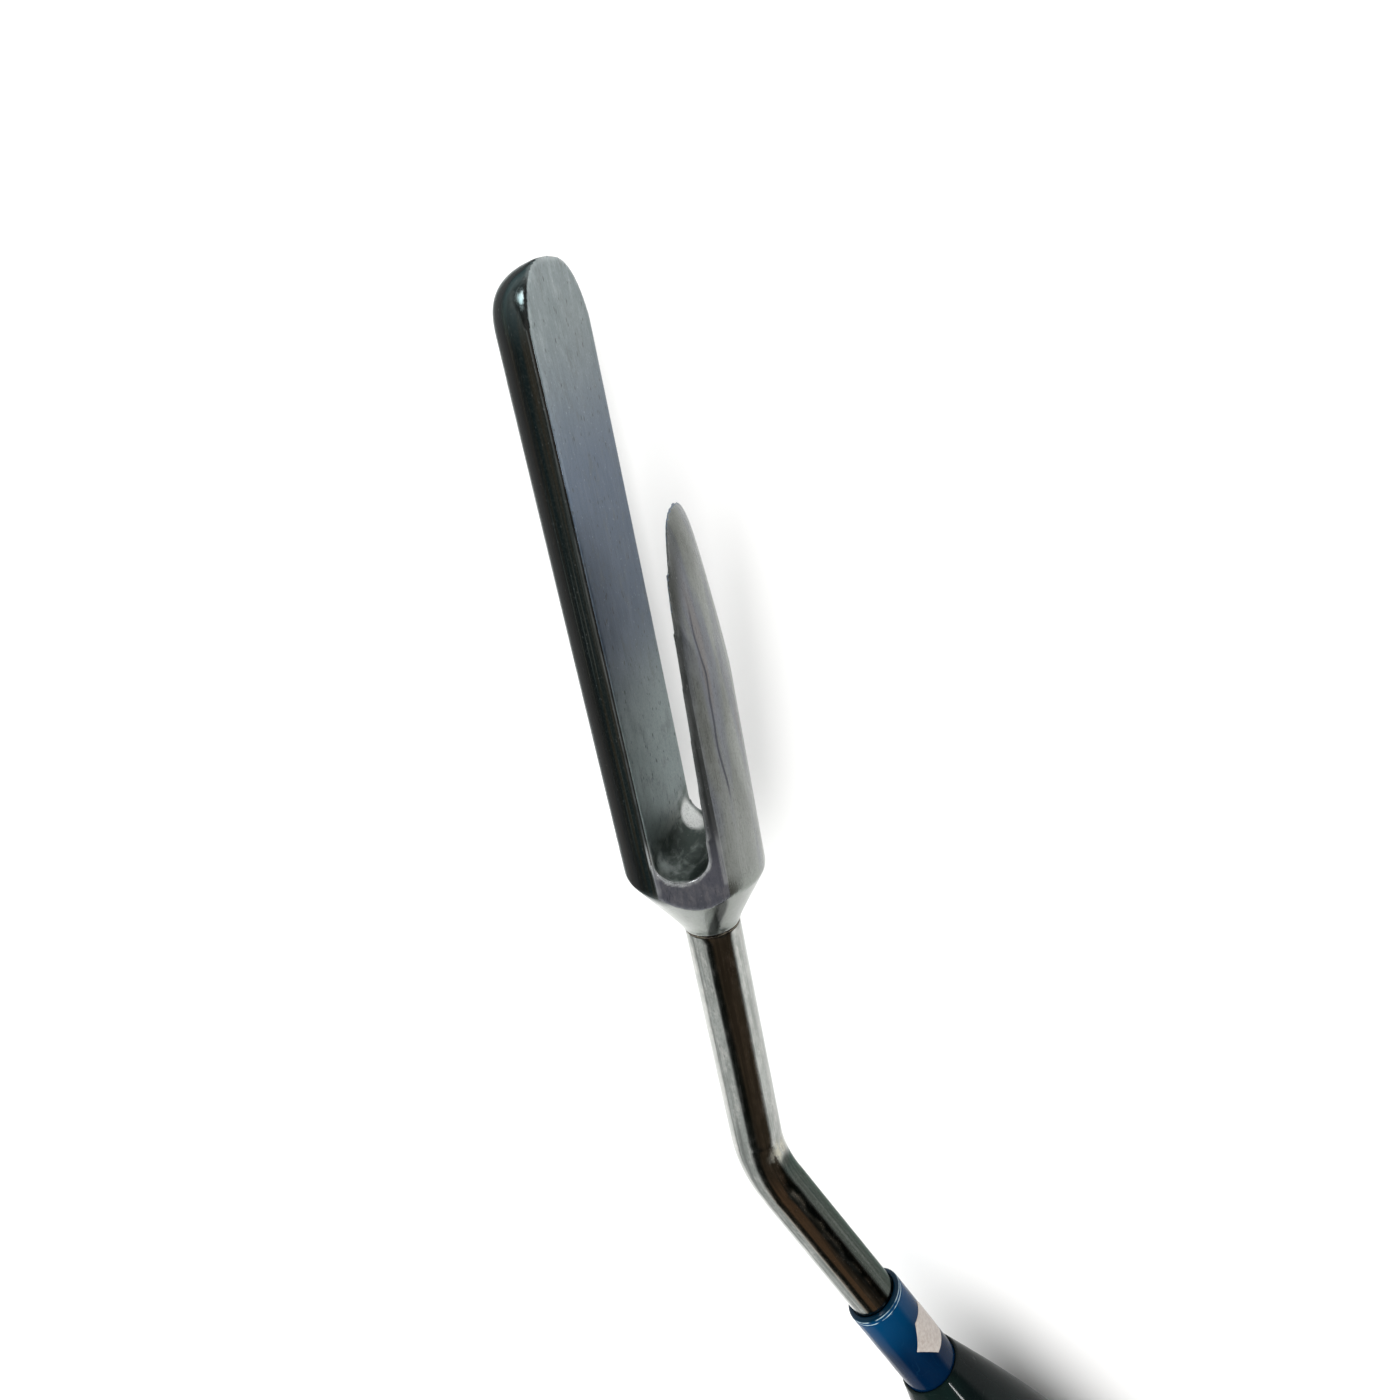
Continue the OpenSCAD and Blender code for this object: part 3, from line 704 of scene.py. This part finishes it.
hang_y = HANDLE_X + HANDLE_L - HANG_AT
far = BELLY_R + 2
cuts = [cutter(PIN_R + FIT, -far, far, HANDLE_X + PIN_AT), cutter(EYELET_R + FIT, -far, far, hang_y),
        cutter(FLANGE_R + 0.4, HANG_HALF, far, hang_y), cutter(FLANGE_R + 0.4, -far, -HANG_HALF, hang_y)]
for i, obj in enumerate(cuts):
    cut = grip_piece.modifiers.new(f"cut{i}", "BOOLEAN")
    cut.operation = "DIFFERENCE"
    cut.solver = "EXACT"
    cut.object = obj
bpy.context.view_layer.update()
mesh = bpy.data.meshes.new_from_object(grip_piece.evaluated_get(bpy.context.evaluated_depsgraph_get()))
grip_piece.modifiers.clear()
for obj in cuts:
    bpy.data.objects.remove(obj)
local = (read(mesh.vertices, "co") / MM - ORIGIN - CORNER) @ LOWER
mesh.attributes.remove(mesh.attributes["rest"])
set_rest(mesh, local)
mesh.materials.clear()
mesh.materials.append(grip.mat)
mesh.polygons.foreach_set("material_index", np.zeros(len(mesh.polygons), np.int32))
mesh.shade_smooth()
mesh.set_sharp_from_angle(angle=SHARP)
grip_piece.data = mesh

# Eyelet with rolled flanges, through the butt
half = HANG_HALF + FLANGE_T
under = HANG_HALF - FIT
wall = [(HANG_R + 0.25, -half), (FLANGE_R - 0.3, -half), (FLANGE_R, -half + 0.3), (FLANGE_R - 0.15, -under),
        (EYELET_R, -under), (EYELET_R, under), (FLANGE_R - 0.15, under), (FLANGE_R, half - 0.3),
        (FLANGE_R - 0.3, half), (HANG_R + 0.25, half), (HANG_R, half - 0.6), (HANG_R, 0.0), (HANG_R, -half + 0.6)]
loop = rounded(wall + [wall[0]], 0.35)[:-1]
verts, faces = lathe(loop, 96, True)
local = np.stack([verts[:, 0], hang_y + verts[:, 2], verts[:, 1]], -1)
add_piece("hang_eyelet", from_lower(local), faces, local, eyelet_metal, "eyelet",
          math.radians(50))

# The mark and the pin keep their CAD shape
for name, net in (("mark", film), ("tang_pin", pin_metal)):
    nodes[name].data.materials.clear()
    nodes[name].data.materials.append(net.mat)

# ---------------------------------------------------------------- floor, light and camera
# The floor's half width, and how far it lies below the tool, in m
FLOOR_HALF, FLOOR_DROP = 3.0, 0.0002
scene = bpy.context.scene
floor_mesh = bpy.data.meshes.new("floor")
corners = ((-1, -1), (1, -1), (1, 1), (-1, 1))
floor_mesh.from_pydata([(a * FLOOR_HALF, b * FLOOR_HALF, -FLOOR_DROP) for a, b in corners], [], [(0, 1, 2, 3)])
floor = bpy.data.objects.new("floor", floor_mesh)
scene.collection.objects.link(floor)
paper = Net("floor_paper", grain="object")
paper.bsdf.inputs["Specular IOR Level"].default_value = 0.1
paper.colour(paper.mix(paper.noise((0.01, 0.01, 0.01), 2.0), (0.90, 0.90, 0.895), (0.92, 0.92, 0.915)))
paper.rough(paper.fit(paper.noise((0.3, 0.3, 0.3), 2.0), 0.3, 0.7, 0.7, 0.8))
floor_mesh.materials.append(paper.mat)

# What the metal reflects: along ROOM_AXIS the room goes from a pale wall through black and brown to dark grey.
# The stops are at the dot product with the axis plus ROOM_LIFT.
ROOM_AXIS = (0.725, 0.361, 0.588)
ROOM_LIFT = 0.15
ROOM = ((0.05, (0.95, 0.97, 0.96)), (0.16, (0.010, 0.012, 0.011)), (0.42, (0.010, 0.011, 0.009)),
        (0.50, (0.085, 0.060, 0.040)), (0.84, (0.070, 0.050, 0.034)), (0.91, (0.010, 0.010, 0.009)),
        (1.0, (0.034, 0.042, 0.038)))
world = bpy.data.worlds.new("studio")
world.use_nodes = True
scene.world = world
tree = world.node_tree
tree.nodes.clear()
aim = tree.nodes.new("ShaderNodeTexCoord").outputs["Generated"]
facing = tree.nodes.new("ShaderNodeVectorMath")
facing.operation = "DOT_PRODUCT"
facing.inputs[1].default_value = ROOM_AXIS
tree.links.new(aim, facing.inputs[0])
lift = tree.nodes.new("ShaderNodeMath")
lift.inputs[1].default_value = ROOM_LIFT
tree.links.new(facing.outputs["Value"], lift.inputs[0])
room = tree.nodes.new("ShaderNodeValToRGB")
tree.links.new(lift.outputs[0], room.inputs[0])
stops = room.color_ramp.elements
while len(stops) < len(ROOM):
    stops.new(0.5)
for stop, (at, colour) in zip(stops, ROOM):
    stop.position = at
    stop.color = (*colour, 1.0)
back = tree.nodes.new("ShaderNodeBackground")
height = tree.nodes.new("ShaderNodeSeparateXYZ")
tree.links.new(aim, height.inputs[0])
glow = tree.nodes.new("ShaderNodeMapRange")
tree.links.new(height.outputs["Z"], glow.inputs[0])
for socket, value in zip(glow.inputs[1:5], (0.15, 0.05, 0.0, 1.0)):
    socket.default_value = value
sky = tree.nodes.new("ShaderNodeMix")
sky.data_type = "RGBA"
tree.links.new(glow.outputs[0], sky.inputs[0])
tree.links.new(room.outputs[0], sky.inputs[6])
sky.inputs[7].default_value = (0.75, 0.76, 0.75, 1.0)
tree.links.new(sky.outputs[2], back.inputs["Color"])
# The room is only there to be reflected: seen directly, it is a plain pale backdrop
plain = tree.nodes.new("ShaderNodeBackground")
plain.inputs["Color"].default_value = (0.97, 0.97, 0.965, 1.0)
seen = tree.nodes.new("ShaderNodeMixShader")
tree.links.new(tree.nodes.new("ShaderNodeLightPath").outputs["Is Camera Ray"], seen.inputs[0])
tree.links.new(back.outputs[0], seen.inputs[1])
tree.links.new(plain.outputs[0], seen.inputs[2])
tree.links.new(seen.outputs[0], tree.nodes.new("ShaderNodeOutputWorld").inputs[0])


def soft_light(name, place, target, size, power, glossy):
    """A white disk of light aimed at a point, which shows either in reflections or in diffuse light only."""
    data = bpy.data.lights.new(name, "AREA")
    data.shape = "DISK"
    data.size = size
    data.energy = power
    obj = bpy.data.objects.new(name, data)
    scene.collection.objects.link(obj)
    obj.location = place
    obj.rotation_euler = (Vector(target) - Vector(place)).to_track_quat("-Z", "Y").to_euler()
    obj.visible_glossy = glossy
    obj.visible_diffuse = not glossy


soft_light("fill_top", (0.0, 0.0, 1.6), (0, 0, 0), 6.0, 175.0, False)
soft_light("tip_glint", (-0.42, 0.92, 0.50), (-0.04, 0.13, 0.02), 0.30, 5.5, True)
soft_light("grip_glint", (0.65, 0.05, 0.62), (-0.01, -0.04, 0.02), 0.06, 0.80, True)

camera_data = bpy.data.cameras.new("camera")
camera_data.lens = 26.743
camera_data.sensor_width = 36.0
camera_data.clip_start = 0.01
camera = bpy.data.objects.new("camera", camera_data)
scene.collection.objects.link(camera)
# The camera's axes, and where it stands in mm from the neck joint
RIGHT, UP, BACK = (0.95359, -0.17799, -0.24287), (0.06671, 0.91143, -0.40601), (0.29362, 0.37097, 0.88100)
STAND = ORIGIN + np.array([43.755, 83.722, 117.660])
camera.matrix_world = Matrix.Translation(Vector(STAND * MM)) @ Matrix((RIGHT, UP, BACK)).transposed().to_4x4()
scene.camera = camera
scene.view_settings.view_transform = "Standard"
